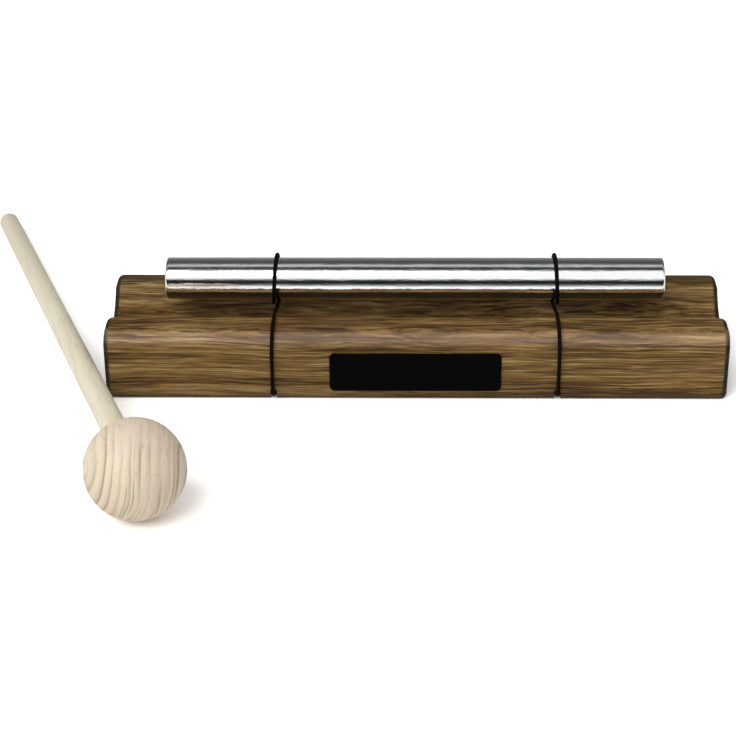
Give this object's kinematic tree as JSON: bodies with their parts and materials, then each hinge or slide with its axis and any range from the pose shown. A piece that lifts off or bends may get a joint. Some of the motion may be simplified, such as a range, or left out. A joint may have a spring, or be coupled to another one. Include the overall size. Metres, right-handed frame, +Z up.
{
  "type": "chime bar",
  "caption": "Round metal tone bar held by two elastic cords across a hollowed wooden base, with a round-headed wooden beater lying beside it",
  "frame": {"origin": "middle of the flat face that the wooden base stands on, at table height", "axes": "+X along the tone bar to the right as the player sees it, +Y away from the player, +Z up from the table"},
  "size_m": [0.276, 0.2303, 0.0432],
  "materials": {
    "base_wood": "open-grained brown hardwood, oiled satin",
    "plate_gloss": "gloss black",
    "bar_metal": "polished",
    "cord_elastic": "matt black elastic cord",
    "beater_wood": "pale bare hardwood, sanded smooth"
  },
  "bodies": {
    "base": {"base_block": "base_wood", "name_plate": "plate_gloss", "cord_left_wrap": "cord_elastic", "cord_right_wrap": "cord_elastic"},
    "cord_cradle": {"cord_left_turn": "cord_elastic", "cord_left_front_span": "cord_elastic", "cord_left_back_span": "cord_elastic", "cord_right_turn": "cord_elastic", "cord_right_front_span": "cord_elastic", "cord_right_back_span": "cord_elastic"},
    "tone_bar": {"tone_bar": "bar_metal"},
    "mallet": {"mallet_head": "beater_wood", "mallet_handle": "beater_wood"}
  },
  "joints": [
    {"name": "bar_bounce", "type": "slide", "parent": "base", "child": "cord_cradle", "axis": [0, 0, 1], "range_m": [-0.004, 0.004], "stiffness_N_per_m": 700, "springref_m": 0.00117, "deforming": ["cord_left_front_span", "cord_left_back_span", "cord_right_front_span", "cord_right_back_span"]},
    {"name": "bar_roll", "type": "hinge", "parent": "cord_cradle", "child": "tone_bar", "pos_m": [0, 0, 0.0339], "axis": [1, 0, 0], "continuous": true},
    {"name": "mallet_lift", "type": "slide", "parent": "base", "child": "mallet", "axis": [0, 0, 1], "range_m": [0, 0.15]}
  ]
}
